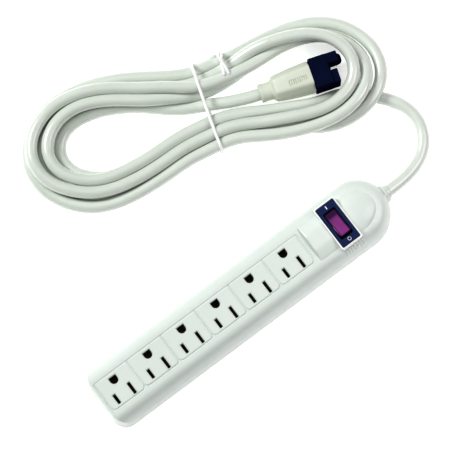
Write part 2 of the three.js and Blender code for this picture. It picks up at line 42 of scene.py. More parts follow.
QUARTER_TURN, HALF_TURN, FULL_TURN = math.pi / 2, math.pi, 2 * math.pi


def linked(name, data):
    """A new object in the scene."""
    obj = bpy.data.objects.new(name, data)
    bpy.context.scene.collection.objects.link(obj)
    return obj


def turn_to(obj, direction):
    """Makes a camera or a light look in a direction."""
    obj.rotation_mode = "QUATERNION"
    obj.rotation_quaternion = direction.to_track_quat("-Z", "Y")


# ---- camera ----------------------------------------------------------------

AZIMUTH, ELEVATION, DISTANCE = math.radians(-37.04), math.radians(80.0), 4.0
# The middle of the picture, from the origin along the picture's own sides.
AIM_RIGHT, AIM_UP = -0.01294, 0.05156
LENS, SENSOR = 470, 36
NEAR, FAR = 0.01, 50


def place_camera():
    right = Vector((math.cos(AZIMUTH), math.sin(AZIMUTH), 0))
    back = Vector((
        math.sin(AZIMUTH) * math.cos(ELEVATION),
        -math.cos(AZIMUTH) * math.cos(ELEVATION),
        math.sin(ELEVATION),
    ))
    up = back.cross(right)
    camera = linked("camera", bpy.data.cameras.new("camera"))
    camera.location = right * AIM_RIGHT + up * AIM_UP + back * DISTANCE
    turn_to(camera, -back)
    camera.data.lens, camera.data.sensor_width = LENS, SENSOR
    camera.data.clip_start, camera.data.clip_end = NEAR, FAR
    bpy.context.scene.camera = camera


place_camera()

# ---- the cord's route ------------------------------------------------------

CORD_R = 4.3
CORD_HEIGHT = 11  # of its middle, where it leaves the housing
EXIT = (123.8, 0, CORD_HEIGHT)

# From inside the strain relief round to where the lead goes under the hank.
LEAD_ROUTE = [
    (119, 0, CORD_HEIGHT), EXIT, (126, 0, 10.95), (131, 0.1, 10.0), (137, 0.7, 7.9), (144, 1.9, 5.7),
    (151, 3.8, 4.6), (157.5, 7.2, 4.4), (163, 12, 4.4), (167.3, 18.2, 4.4), (169.9, 25.2, 4.4),
    (170.4, 32.6, 4.4), (169, 40, 4.4), (165.7, 47, 4.4), (161, 53.5, 4.4), (155.3, 60, 4.4),
    (148.5, 67.5, 4.5),
]
# The line down the middle of the hank's bundle, once round from the tie.
MIDLINE = [
    (66.5, 98.5), (50.5, 103.5), (28.5, 107.5), (16, 108), (1.5, 109), (-13, 111.2), (-24, 114),
    (-33.5, 118), (-40.5, 122.7), (-48.5, 132.5), (-53.5, 145), (-52.5, 157), (-46.5, 166.5),
    (-40, 171.5), (-29.5, 176), (-18, 176.5), (-5, 174.2), (8.5, 169.5), (23.5, 161.5), (39, 151),
    (58.5, 138.5), (77.5, 133), (99, 130.8), (117.5, 129), (130.5, 126.5), (142, 122.5), (151.5, 117.2),
    (159, 110), (164, 100), (166, 89), (164, 80), (160.5, 74), (154.5, 69), (145, 65.7), (135.5, 65),
    (126, 66.2), (118.5, 69), (110, 73), (102, 78), (87, 86.5),
]
# Where along the midline, as a part of a turn, each turn's place in the bundle is given.
STATIONS = [0.03, 0.14, 0.22, 0.30, 0.38, 0.46, 0.56, 0.66, 0.74, 0.80, 0.86, 0.93]
# A turn's place at each station: diameters outwards from the midline, and height.
FIRST_PLACES = [(-1.25, 7.5), (-0.95, 12.5)]
TURNS = [
    [(-0.9, 12.9), (-0.9, 12.9), (-0.85, 11.5), (-0.28, 12.7), (-0.12, 12.6), (-0.85, 12.9),
     (-0.5, 5), (-0.15, 4.3), (-0.02, 4.3), (0.2, 4.6), (-0.1, 9), (0.35, 12.5)],
    [(0.5, 4.3), (0.4, 4.3), (0.2, 4.3), (0.3, 4.3), (0.35, 4.3), (0.4, 4.3),
     (0.35, 6.5), (-0.05, 18.5), (-0.66, 20.8), (-0.94, 20.5), (-0.5, 20), (0.05, 20)],
    [(0.1, 13.2), (0.12, 12.9), (0.15, 12.9), (1.0, 12.9), (0.82, 12.9), (0.1, 12.9),
     (-0.3, 12.9), (-0.4, 12.7), (-0.34, 12.9), (0.07, 14), (0.52, 18.5), (0.95, 14)],
    [(0.92, 12.9), (0.98, 8), (1.08, 4.3), (1.15, 4.3), (1.1, 4.3), (1.1, 4.3),
     (1.15, 4.3), (0.85, 5.5), (0.98, 5.5), (1.28, 10.5), (1.15, 11.5), (0.1, 4.3)],
    [(-0.5, 4.3), (-0.85, 4.3), (-1.38, 4.3), (-1.15, 4.3), (-0.96, 4.3), (-1.1, 4.3)],
]
# From the hank's upper run to the back of the plug.
PLUG_ROUTE = [
    (51.5, 128.2, 4.6), (63, 121.6, 6.4), (69.3, 117.2, 7.7), (73.5, 115, 8.6), (77.5, 113, 9.4),
    (82, 110.7, 10.7), (87, 108.25, 11.8), (92.7, 106.25, 12.1), (97.5, 104.7, 12.1),
]
TURN_STEP = 0.004  # of a turn, between the hank's points
TURN_SOFTNESS = 15  # points over which the turns' places are averaged
FINE_STEP, COARSE_STEP = 2.0, 4.0  # between the cord's points, as drawn and while its turns are settled
SMOOTHINGS = 14  # rounds in which the joined routes are smoothed
STIFFNESS = 0.15  # how far towards its neighbours a point may move in one round
PUSH_SOFTNESS = 9  # points over which a push or an easing is averaged
TIGHTEST_BEND = 24  # the radius below which a bend is opened out


def spline(points, per, closed=False):
    """Points on a Catmull-Rom line through the given ones, per of them to each stretch."""
    points = np.array(points, float)
    before = points[-1] if closed else 2 * points[0] - points[1]
    after = points[:2] if closed else [2 * points[-1] - points[-2]]
    padded = np.vstack([before, points, *after])
    part = np.arange(per)[:, None] / per
    out = []
    for a, b, c, d in zip(padded, padded[1:], padded[2:], padded[3:]):
        square, cube = 2 * a - 5 * b + 4 * c - d, 3 * b - a - 3 * c + d
        out.append(0.5 * (2 * b + (c - a) * part + square * part**2 + cube * part**3))
    return np.vstack(out if closed else [*out, points[-1:]])


def distance_along(line):
    """How far along a line each of its points is."""
    gaps = np.linalg.norm(np.diff(line, axis=0), axis=1)
    return np.concatenate([[0], np.cumsum(gaps)])


def read_between(places, known_places, rows):
    """The rows of a table at places between the known ones."""
    return np.stack([np.interp(places, known_places, column) for column in rows.T], axis=1)


def evenly(line, step):
    """The same line as points that are step apart."""
    along = distance_along(line)
    return read_between(np.linspace(0, along[-1], int(along[-1] / step) + 1), along, line)


def blurred(rows, count, beyond="constant"):
    """Each column averaged along the line over count points, with zeros or its "edge" beyond the ends."""
    weights = np.hanning(count + 2)[1:-1]
    weights /= weights.sum()
    padded = [np.pad(column, count // 2, mode=beyond) for column in rows.T]
    return np.stack([np.convolve(column, weights, mode="valid") for column in padded], axis=1)


def unit(rows):
    """Each row made one long."""
    return rows / np.linalg.norm(rows, axis=1)[:, None]


def bend(line, reach=1):
    """How a line bends at its inner points, from the neighbours reach points away."""
    return line[:-2 * reach] - 2 * line[reach:-reach] + line[2 * reach:]


def hank_turns():
    """The points of the hank, from where the lead comes up in it to where it leaves for the plug."""
    middle = spline(MIDLINE, 24, closed=True)
    ahead = unit(np.roll(middle, -1, 0) - np.roll(middle, 1, 0))
    outwards = np.stack([-ahead[:, 1], ahead[:, 0]], axis=1)
    middle, outwards = (np.vstack([rows, rows[:1]]) for rows in (middle, outwards))
    along = distance_along(middle)
    along /= along[-1]

    at = STATIONS[-2:] + [turn + 1 + s for turn, row in enumerate(TURNS) for s, _ in zip(STATIONS, row)]
    places = np.array(FIRST_PLACES + [place for row in TURNS for place in row])
    turned_by = np.arange(at[0], at[-1], TURN_STEP)
    places = blurred(read_between(turned_by, at, places), TURN_SOFTNESS, "edge")
    lane, height = places[:, :1], places[:, 1:]
    plan = read_between(turned_by % 1, along, middle)
    plan += read_between(turned_by % 1, along, outwards) * lane * 2 * CORD_R
    return np.hstack([plan, height])


def eased(line, rounds=120):
    """Opens out bends that are too tight."""
    for _ in range(rounds):
        gap = np.linalg.norm(line[4:] - line[:-4], axis=1) / 2
        curvature = np.linalg.norm(bend(line, 2), axis=1) / gap**2
        tight = np.zeros((len(line), 1))
        tight[2:-2, 0] = np.clip(curvature * TIGHTEST_BEND - 1, 0, 1)
        line[1:-1] += STIFFNESS * blurred(tight, PUSH_SOFTNESS)[1:-1] * bend(line)
    return line


def settled(line, rounds=40):
    """Moves turns that lie in each other apart, mostly up and down, and keeps them off the floor."""
    same_stretch = 6  # points this near along the cord don't push each other
    held_start, held_end, ramp = 2, 8, 10  # points at the ends that stay, and over which the pushing sets in
    level, lift = 2, 0.3  # turns this level with each other are told apart by lifting the later one
    push_share, off_floor = (0.12, 0.12, 0.3), 0.1
    order = np.arange(len(line))
    behind = order[:, None] - order
    free = np.clip(np.minimum(order - held_start, len(line) - held_end - order) / ramp, 0, 1)[:, None]
    for _ in range(rounds):
        away = line[:, None] - line
        away[:, :, 2] += lift * np.sign(behind) * (np.abs(away[:, :, 2]) < level)
        distance = np.sqrt((away**2).sum(2)) + 1e-6
        near = (np.abs(behind) > same_stretch) & (distance < 2 * CORD_R)
        overlap = np.where(near, 2 * CORD_R / distance - 1, 0)[:, :, None]
        push = (overlap * away).sum(1) / np.maximum(near.sum(1), 1)[:, None]
        line = line + free * blurred(push * push_share, PUSH_SOFTNESS)
        line[1:-1, 2] += STIFFNESS * bend(line)[:, 2]
        line[:, 2] = np.maximum(line[:, 2], CORD_R + off_floor)
    return line


def cord_line():
    """The cord's middle line, from inside the strain relief to inside the plug."""
    line = evenly(np.vstack([spline(LEAD_ROUTE, 6), hank_turns(), spline(PLUG_ROUTE, 6)]), FINE_STEP)
    for _ in range(SMOOTHINGS):
        line[1:-1] += bend(line) / 4
    line = settled(evenly(eased(line), COARSE_STEP))
    return evenly(spline(line, 2), FINE_STEP)


# ---- materials -------------------------------------------------------------


def set_inputs(node, **values):
    """Sets a node's inputs, with _ for a space in their names."""
    for name, value in values.items():
        node.inputs[name.replace("_", " ")].default_value = value


def material(name, colour, roughness, mottle=0.04, grain=1400, bump=0.06, **shader_inputs):
    """Moulded plastic or metal: clouded colour, uneven gloss and a fine surface grain."""
    mat = bpy.data.materials.new(name)
    mat.use_nodes = True
    nodes, links = mat.node_tree.nodes, mat.node_tree.links
    shader = nodes["Principled BSDF"]
    set_inputs(shader, **shader_inputs)
    place = nodes.new("ShaderNodeTexCoord").outputs["Object"]

    cloud = nodes.new("ShaderNodeTexNoise")
    set_inputs(cloud, Scale=55, Detail=4)
    links.new(place, cloud.inputs["Vector"])
    ramp = nodes.new("ShaderNodeValToRGB")
    for stop, position, shade in zip(ramp.color_ramp.elements, (0.3, 0.7), (1 - mottle, 1 + mottle)):
        stop.position = position
        stop.color = [min(max(part * shade, 0), 1) for part in colour] + [1]
    links.new(cloud.outputs["Fac"], ramp.inputs["Fac"])
    links.new(ramp.outputs["Color"], shader.inputs["Base Color"])

    gloss = nodes.new("ShaderNodeMapRange")
    set_inputs(gloss, To_Min=roughness * 0.94, To_Max=roughness * 1.07)
    links.new(cloud.outputs["Fac"], gloss.inputs["Value"])
    links.new(gloss.outputs["Result"], shader.inputs["Roughness"])

    fine = nodes.new("ShaderNodeTexNoise")
    set_inputs(fine, Scale=grain, Detail=3)
    links.new(place, fine.inputs["Vector"])
    relief = nodes.new("ShaderNodeBump")
    set_inputs(relief, Strength=bump, Distance=0.0002)
    links.new(fine.outputs["Fac"], relief.inputs["Height"])
    links.new(relief.outputs["Normal"], shader.inputs["Normal"])
    return mat


HOUSING = material("housing_plastic", (0.68, 0.745, 0.695), 0.34, 0.015, bump=0.05)
FRAME = material("frame_plastic", (0.93, 0.94, 0.935), 0.28, 0.01, bump=0.03)
PLATE = material("plate_plastic", (0.008, 0.024, 0.085), 0.36, 0.15, bump=0.10)
SYMBOL = material("symbol_print", (0.86, 0.87, 0.9), 0.45, 0.03)
ROCKER = material("rocker_plastic", (0.25, 0.055, 0.235), 0.2, 0.22, grain=480, bump=0.04, Coat_Weight=0.4)
PHENOLIC = material("phenolic", (0.02, 0.02, 0.022), 0.5, 0.2)
# Darker than the plug's brass by painted shade, so that the bars look dark down the outlet slots.
BRASS_WITH_PAINTED_SHADE = material("brass_sheet_painted_shade", (0.40, 0.34, 0.17), 0.45, 0.2, bump=0.10, Metallic=0.7)
BRIGHT_BRASS = material("brass_pins", (0.75, 0.62, 0.32), 0.25, 0.08, Metallic=1.0)
STEEL = material("zinc_steel", (0.56, 0.57, 0.58), 0.34, 0.10, bump=0.12, Metallic=1.0)
LAMP = material("lamp_glass", (0.9, 0.55, 0.38), 0.08, 0.05, bump=0.01, Transmission_Weight=0.6)
BLACK = material("black_insulation", (0.02, 0.02, 0.02), 0.5, 0.2)
WHITE = material("white_insulation", (0.8, 0.8, 0.77), 0.5, 0.04)
GREEN = material("green_insulation", (0.03, 0.25, 0.08), 0.5, 0.1)
CORD = material("cord_vinyl", (0.645, 0.70, 0.635), 0.28, 0.02, grain=880, bump=0.03, Coat_Weight=0.6,
                Coat_Roughness=0.22, Specular_IOR_Level=0.6)
PLUG = material("plug_vinyl", (0.64, 0.685, 0.585), 0.42, 0.04, grain=1040, bump=0.14)
CAP = material("cap_vinyl", (0.009, 0.014, 0.042), 0.42, 0.25, grain=1040, bump=0.12, Specular_IOR_Level=0.0)
TIE = material("tie_coating", (0.93, 0.935, 0.93), 0.33, 0.02, bump=0.05)

# ---- outlines --------------------------------------------------------------


def arc(x, y, radius, start, end, count):
    """Points in plan on an arc, from one angle to another."""
    return [(x + radius * math.cos(a), y + radius * math.sin(a)) for a in np.linspace(start, end, count)]


def circle(radius, count, x=0.0, y=0.0):
    return arc(x, y, radius, 0, FULL_TURN, count + 1)[:-1]


def rounded_rectangle(x, y, wide, long, corner, steps):
    """Points in plan round a rectangle with rounded corners, steps of them to each corner."""
    points = []
    for quarter, (side, end) in enumerate(((1, 1), (-1, 1), (-1, -1), (1, -1))):
        centre_x, centre_y = x + side * (wide / 2 - corner), y + end * (long / 2 - corner)
        start = quarter * QUARTER_TURN
        points += arc(centre_x, centre_y, corner, start, start + QUARTER_TURN, steps)
    return points


def at_height(points, z):
    return [(x, y, z) for x, y in points]


def at_x(points, x):
    return [(x, y, z) for y, z in points]


# ---- mesh helpers ----------------------------------------------------------


def shade(mesh, sharp):
    """Smooth shading, but for edges sharper than an angle in degrees."""
    mesh.shade_smooth()
    mesh.set_sharp_from_angle(angle=math.radians(sharp))


def solid(name, vertices, faces, mat, sharp=32.0):
    """An object from vertices in millimetres, with its faces turned outwards."""
    mesh = bpy.data.meshes.new(name)
    mesh.from_pydata([Vector(v) * MM for v in vertices], [], faces)
    work = bmesh.new()
    work.from_mesh(mesh)
    bmesh.ops.recalc_face_normals(work, faces=work.faces)
    work.to_mesh(mesh)
    work.free()
    mesh.materials.append(mat)
    shade(mesh, sharp)
    return linked(name, mesh)


def loft(name, rings, mat, sharp=32.0):
    """A closed body through rings of the same number of points, in millimetres."""
    count = len(rings[0])
    faces = [tuple(range(count)), tuple(range((len(rings) - 1) * count, len(rings) * count))]
    for k in range(len(rings) - 1):
        for i in range(count):
            j = (i + 1) % count
            faces.append((k * count + i, k * count + j, (k + 1) * count + j, (k + 1) * count + i))
    return solid(name, [point for ring in rings for point in ring], faces, mat, sharp)


def turned(name, profile, mat, y=0.0, z=0.0, count=48):
    """A body of round sections along X, from (x, radius) pairs."""
    rings = [at_x(circle(max(radius, 0.01), count, y, z), x) for x, radius in profile]
    return loft(name, rings, mat, 40)


def apply_modifiers(obj):
    graph = bpy.context.evaluated_depsgraph_get()
    mesh = bpy.data.meshes.new_from_object(obj.evaluated_get(graph), depsgraph=graph)
    obj.modifiers.clear()
    obj.data = mesh
    return obj


def combine(obj, other, how="DIFFERENCE"):
    """Cuts other from obj, or joins it with "UNION", and removes other."""
    step = obj.modifiers.new("step", "BOOLEAN")
    step.operation, step.solver, step.object = how, "EXACT", other
    apply_modifiers(obj)
    bpy.data.objects.remove(other)


def smooth_edges(obj, sharp=32.0):
    shade(obj.data, sharp)
    weigh = obj.modifiers.new("weigh", "WEIGHTED_NORMAL")
    weigh.keep_sharp = True
    return apply_modifiers(obj)


def merged(name, objects):
    """One object holding the meshes of several."""
    work = bmesh.new()
    for obj in objects:
        work.from_mesh(obj.data)
    mesh = bpy.data.meshes.new(name)
    work.to_mesh(mesh)
    work.free()
    mesh.materials.append(objects[0].data.materials[0])
    for obj in objects:
        bpy.data.objects.remove(obj)
    return linked(name, mesh)


def rounded_box(name, low, high, radius, mat, segments=4):
    """A box with rounded edges, from its corners in millimetres."""
    corners = [(x, y, z) for x in (low[0], high[0]) for y in (low[1], high[1]) for z in (low[2], high[2])]
    faces = [(0, 1, 3, 2), (4, 6, 7, 5), (0, 4, 5, 1), (2, 3, 7, 6), (0, 2, 6, 4), (1, 5, 7, 3)]
    obj = solid(name, corners, faces, mat)
    bevel = obj.modifiers.new("bevel", "BEVEL")
    bevel.width, bevel.segments = radius * MM, segments
    apply_modifiers(obj)
    obj.data.shade_smooth()
    return obj


def directions(line):
    """Which way a line goes at each of its points."""
    return unit(np.gradient(line, axis=0))


def tube(name, line, radius, mat, sides=14, ends=True):
    """A round tube along points in millimetres, with rounded ends."""
    line = np.array(line, float)
    ahead = directions(line)
    across = np.cross(ahead[0], (0, 0, 1) if abs(ahead[0][2]) < 0.9 else (1, 0, 0))
    places = []
    for at, way in zip(line, ahead):
        across = across - way * np.dot(across, way)
        across /= np.linalg.norm(across)
        places.append((at, way, across, np.cross(way, across)))

    def ring(place, shift, size):
        at, way, across, upwards = place
        centre = at + way * shift * radius
        return [centre + (across * x + upwards * y) * size for x, y in circle(radius, sides)]

    # How far back from the end, in radii, and how big the rings of a rounded end are.
    taper = [(-0.95, 0.25), (-0.75, 0.66), (-0.4, 0.92)] if ends else []
    rings = [ring(places[0], shift, size) for shift, size in taper]
    rings += [ring(place, 0, 1) for place in places]
    rings += [ring(places[-1], -shift, size) for shift, size in reversed(taper)]
    return loft(name, rings, mat, 50)


def shown(obj, body, slot, *nodes):
    """Puts a finished piece on its body, in place of its CAD nodes. Its slot is not used."""
    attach(obj, body)
    if nodes:
        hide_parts(*nodes)
    return obj


# ---- cord ------------------------------------------------------------------


def make_cord():
    line = cord_line()
    curve = bpy.data.curves.new("cord", "CURVE")
    curve.dimensions = "3D"
    stretch = curve.splines.new("POLY")
    stretch.points.add(len(line) - 1)
    for point, at in zip(stretch.points, line):
        point.co = (*(at * MM), 1)
    stretch.use_smooth = True
    curve.bevel_depth, curve.bevel_resolution = CORD_R * MM, 8
    curve.use_fill_caps = True
    curve.materials.append(CORD)
    obj = shown(linked("cord", curve), "housing", "cord", "cord_lead", "cord_hank", "cord_plug_lead")
    return obj, float(distance_along(line)[-1] * MM)


cord, cord_length = make_cord()

# ---- housing ---------------------------------------------------------------

HALF_LENGTH, HALF_WIDTH = 121, 23.3
ROUND_END_X = 96  # the middle of the round end
CORNER = 11  # in plan, at the square end
FACE, SEAM, WALL = 28, 7, 2.2
PITCH = 28.63
OUTLET_XS = [-105.3 + PITCH * i for i in range(6)]

# How high the rounding of the upper edges is, and how far it draws the face in.
SIDE_HIGH, SIDE_DEEP = 15, 9.5
END_HIGH, END_DEEP = 4, 2.5

PAD_X, PAD_HALF, PAD_RISE = 56, 14.3, 3.5
PAD_EDGE, PAD_EDGE_DROP = 1.2, 1.2  # the rounding of the pad's square end
PAD_STEPS = [0, 0.05, 0.25, 0.6, 1.2, 2, 4, 14, 24]
PAD_DIP, PAD_SUNK = 0.5, 4  # how far its sides dip below its slope, and how deep it goes in the face
DOME_X, DOME_LENGTH = 90.5, 19  # where the pad begins to narrow into its half dome
DOME_STEPS = [0, 0.06, 0.14, 0.24, 0.36, 0.48, 0.6, 0.7, 0.79, 0.86, 0.92, 0.965, 0.99]
ROUNDING_X, ROUNDING_LENGTH = 88, 9  # where the fold gives way to the dome
DOME_SINK = 0.25

PANEL_START, PANEL_END, PANEL_LOW, PANEL_HIGH, PANEL_CORNER = -118.4, 52.2, -11.3, 11.4, 3.2
NECK_BORE = 5.6
KEYHOLE_XS = (-62.4, 23.5)


def outline(side_inset, end_inset, z):
    """The housing in plan at a height, with its sides and round end, and its square end, drawn in."""
    half = HALF_WIDTH - side_inset
    ring = arc(ROUND_END_X, 0, half, -QUARTER_TURN, QUARTER_TURN, 49)
    radius = max(CORNER - end_inset, 0.5)
    centre_x, centre_y = CORNER - HALF_LENGTH, HALF_WIDTH - CORNER
    top = math.asin(max(min((half - centre_y) / radius, 1), 0))
    for sign, angles in ((1, np.linspace(top, 0, 9)), (-1, np.linspace(0, top, 9))):
        ring += [(centre_x - radius * math.cos(a), sign * (centre_y + radius * math.sin(a))) for a in angles]
    return at_height(ring, z)


def shell_rings(inset, bottom):
    """The upper half of the housing, or with an inset the room inside it."""
    spring = FACE - SIDE_HIGH
    rings = [outline(inset, inset, z) for z in np.linspace(bottom, spring, 4)]
    for a in np.linspace(0, QUARTER_TURN, 19)[1:]:
        z = spring + (SIDE_HIGH - inset) * math.sin(a)
        side = inset + (SIDE_DEEP - inset * 0.4) * (1 - math.cos(a))
        near_top = max((z - (FACE - inset - END_HIGH)) / END_HIGH, 0)
        end = inset + END_DEEP * (1 - math.sqrt(max(1 - near_top**2, 0)))
        rings.append(outline(side, end, z))
    return rings


def crown(u, dome):
    """How high the pad stands at a part of its half width: level, then a soft fold and a slope; or a dome."""
    fold, soft, drop = 0.42, 0.10, 0.93
    slope = drop / (1 - fold)
    folded = 1 - slope * max(u - fold, 0)
    if abs(u - fold) < soft:
        folded = 1 - slope * (u - fold + soft) ** 2 / (4 * soft)
    return folded + dome * (1 - drop * u**2.4 - folded)


def pad_section(x):
    """A section of the raised pad round the switch, from its edge down into the face."""
    t = max((x - DOME_X) / DOME_LENGTH, 0)
    half = PAD_HALF * math.sqrt(max(1 - t**2, 0.0004))
    lead_in = math.sqrt(1 - max(1 - (x - PAD_X) / PAD_EDGE, 0) ** 2)
    rise = (PAD_RISE - PAD_EDGE_DROP * (1 - lead_in)) * (1 - t**3.2) - DOME_SINK * t
    dome = min(max(x - ROUNDING_X, 0) / ROUNDING_LENGTH, 1)
    places = [(u, FACE + rise * crown(abs(u), dome) - PAD_DIP * abs(u) ** 8) for u in np.linspace(-1, 1, 33)]
    places += [(1, FACE - PAD_SUNK), (-1, FACE - PAD_SUNK)]
    return at_x([(half * u, z) for u, z in places], x)


def make_pad():
    """Cut square at -X, with a half dome at +X."""
    places = [PAD_X + step for step in PAD_STEPS] + [DOME_X + DOME_LENGTH * t for t in DOME_STEPS]
    return loft("pad", [pad_section(x) for x in places], HOUSING)


def make_neck():
    profile = [(100, 7.3), (116, 7.3), (117.6, 6.9), (119.6, 6.6), (120.6, 6.4), (HALF_LENGTH, 6.0)]
    return turned("neck", profile, HOUSING, z=CORD_HEIGHT, count=40)


def make_ribs():
    """Seven ribs that follow the rounding of the side, beside the switch."""
    side, spring = 0.1 - HALF_WIDTH, FACE - SIDE_HIGH - 0.05  # a little inside the rounding's own
    line = [(side + SIDE_DEEP * (1 - math.cos(a)), spring + SIDE_HIGH * math.sin(a))
            for a in np.linspace(0.72, 1.2, 7)]
    return merged("ribs", [tube(f"rib_{k}", at_x(line, 73.0 + 2.3 * k), 0.55, HOUSING, 10) for k in range(7)])


def hole_cutter(name, shape, lip=0.6, depth=6.0):
    """A cutter for a hole in the outlet face, from its plan points, with a rounded lip."""
    shape = np.array(shape)
    outwards = shape - np.mean(shape, axis=0)
    outwards /= np.abs(outwards).max(axis=0)
    profile = [(lip, 1), (lip, 0.01), (lip * 0.85, -0.05), (0.05, -0.55), (0, -0.7), (0, -depth)]
    return loft(name, [at_height(shape + grow * outwards, FACE + z) for grow, z in profile], HOUSING)


def ground_shape(x):
    """A D on its side: half round towards the slots and square with cut corners away from them."""
    y, half, top, cut = 6.3, 2.9, 8.8, 0.3
    corners = [(x + half, top - cut), (x + half - cut, top), (x - half + cut, top), (x - half, top - cut)]
    return arc(x, y, half, HALF_TURN, FULL_TURN, 17) + corners


def make_holes():
    """The cutters for each outlet's ground hole, short slot and long slot."""
    slot_y, half_gap, slot_width, slot_corner = -5.5, 6.35, 2.2, 0.35
    holes = []
    for i, x in enumerate(OUTLET_XS):
        holes.append(hole_cutter(f"ground_{i}", ground_shape(x)))
        for name, side, length in (("short", -half_gap, 7.2), ("long", half_gap, 8.9)):
            slot = rounded_rectangle(x + side, slot_y, slot_width, length, slot_corner, 4)
            holes.append(hole_cutter(f"{name}_{i}", slot))
    return merged("holes", holes)


def groove(name, points, width=1.6, depth=0.85):
    """A V-shaped cutter along a line on the outlet face."""
    line = np.array(points, float)
    ahead = directions(line)
    across = np.stack([-ahead[:, 1], ahead[:, 0]], axis=1)
    rings = []
    for at, side in zip(line, across):
        left, right = at + side * width / 2, at - side * width / 2
        above = [(*left, FACE), (*left, FACE + 0.5), (*right, FACE + 0.5), (*right, FACE)]
        rings.append([*above, (*at, FACE - depth)])
    return loft(name, rings, HOUSING)


def panel_line(x):
    """Round an outlet: down one side, across with rounded corners, and up the other."""
    start, end = max(x - PITCH / 2, PANEL_START), x + PITCH / 2
    low, high, corner = PANEL_LOW, PANEL_HIGH, PANEL_CORNER
    angles = np.linspace(0, QUARTER_TURN, 8)[1:]
    line = [(start, y) for y in np.linspace(high, low + corner, 6)]
    line += [(start + corner * (1 - math.cos(a)), low + corner * (1 - math.sin(a))) for a in angles]
    line += [(across, low) for across in np.linspace(start + corner, end - corner, 9)[1:]]
    line += [(end - corner * (1 - math.sin(a)), low + corner * (1 - math.cos(a))) for a in angles]
    return line + [(end, y) for y in np.linspace(low + corner, high, 6)[1:]]


def make_top_cover():
    cover = loft("top_cover_shell", shell_rings(0, SEAM + 0.06), HOUSING)
    for joined in (make_pad, make_neck, make_ribs):
        combine(cover, joined(), "UNION")
    combine(cover, loft("cavity", shell_rings(WALL, SEAM - 3), HOUSING))
    combine(cover, turned("bore", [(98, NECK_BORE), (125, NECK_BORE)], HOUSING, z=CORD_HEIGHT, count=40))
    # Below the seam, the neck is part of the base.
    combine(cover, rounded_box("below", (90, -9, -3), (130, 9, SEAM + 0.15), 0.1, HOUSING, 1))
    combine(cover, make_holes())
    combine(cover, rounded_box("frame_hole", (70.9, -17.2, 14), (88.1, 17.2, 40), 1.0, HOUSING, 2))
    # Neighbouring outlets share a line, so the lines are cut in two rounds.
    for start in (0, 1):
        lines = [groove(f"panel_{i}", panel_line(OUTLET_XS[i])) for i in range(start, 6, 2)]
        combine(cover, merged("panels", lines))
    top_line = [(x, PANEL_HIGH + 0.05) for x in np.linspace(PANEL_START, PANEL_END, 12)]
    combine(cover, groove("top_line", top_line, 1.6, 0.45))
    pad_line = [(PAD_X - 0.25, y) for y in np.linspace(-13.6, 13.6, 8)]
    combine(cover, groove("pad_line", pad_line, 1.0, 0.6))
    cover.name = "top_shell"
    shown(smooth_edges(cover, 28), "housing", "housing", "top_cover")


def make_tray():
    """The lower half with its rounded bottom edge, hollowed out."""
    edge = 0.9
    rings = [outline(edge * (1 - math.sin(a)), edge * (1 - math.sin(a)), edge * (1 - math.cos(a)))
             for a in np.linspace(0, QUARTER_TURN, 5)]
    rings += [outline(0, 0, z) for z in (3, SEAM - 0.2)] + [outline(0.1, 0.1, SEAM - 0.06)]
    tray = loft("base", rings, HOUSING)
    combine(tray, loft("base_cavity", [outline(WALL, WALL, z) for z in (2.4, 12)], HOUSING))
    return tray


def make_lower_neck():
    profile = [(116, 6.6), (HALF_LENGTH, 6.4)]
    halves = [at_x(arc(0, CORD_HEIGHT, radius, HALF_TURN, FULL_TURN, 24), x) for x, radius in profile]
    neck = loft("lower_neck", halves, HOUSING)
    combine(neck, turned("neck_bore", [(95, NECK_BORE), (125, NECK_BORE)], HOUSING, z=CORD_HEIGHT, count=32))
    return neck


def make_pocket(x):
    """A closed pocket over a keyhole, which keeps daylight out of the outlets."""
    pocket = rounded_box("pocket", (x - 5.8, -5.8, 2.2), (x + 12.8, 5.8, 7.6), 0.4, HOUSING, 2)
    combine(pocket, rounded_box("room", (x - 4.6, -4.6, 1), (x + 11.6, 4.6, 6.4), 0.4, HOUSING, 2))
    return pocket


def screw_recess(x, y):
    """A countersunk hole for a screw, from (height, radius) pairs."""
    profile = [(-1, 3.6), (0, 3.5), (0.5, 3.1), (3.1, 3.1), (3.1, 1.45), (8, 1.45)]
    return loft("recess", [at_height(circle(radius, 28, x, y), z) for z, radius in profile], HOUSING)


def keyhole(x):
    """A round entry at x and a narrower tip beyond it."""
    mouth = 0.54  # half the angle at which the tip leaves the entry
    entry = arc(x, 0, 4.3, mouth, FULL_TURN - mouth, 33)
    tip = arc(x + 9, 0, 2.2, -QUARTER_TURN, QUARTER_TURN, 13)
    return loft("keyhole", [at_height(entry + tip, z) for z in (-1, 4)], HOUSING)


def make_base():
    base = make_tray()
    combine(base, make_lower_neck(), "UNION")
    for x in KEYHOLE_XS:
        combine(base, make_pocket(x), "UNION")
    recesses = [screw_recess(x, y) for x in (-110, -33.7, 68) for y in (-17.8, 17.8)]
    combine(base, merged("base_cutters", recesses + [keyhole(x) for x in KEYHOLE_XS]))
    base.name = "base_tray"
    shown(smooth_edges(base, 28), "housing", "housing", "base_cover")


make_top_cover()
make_base()

# ---- switch ----------------------------------------------------------------

SWITCH_X = 79.5
PIVOT_HEIGHT, REST_TILT = 29.4, math.radians(-11)


def switch_block(name, wide, long, corner, profile, mat):
    """A block round the switch's middle, drawn in by an inset at each height."""
    rings = [at_height(rounded_rectangle(SWITCH_X, 0, wide - 2 * inset, long - 2 * inset, corner, 6), z)
             for z, inset in profile]
    return loft(name, rings, mat)


def make_surround():
    outer = [(20, 0), (32.4, 0), (32.75, 0.12), (32.95, 0.4), (33, 0.7)]
    surround = switch_block("frame", 17, 34.2, 1.2, outer, FRAME)
    inner = [(19, 0), (32.5, 0), (32.8, -0.12), (33.1, -0.35)]
    combine(surround, switch_block("well", 14.8, 32, 0.8, inner, FRAME))
    surround.name = "switch_surround"
    shown(smooth_edges(surround), "housing", "frame", "switch_frame")


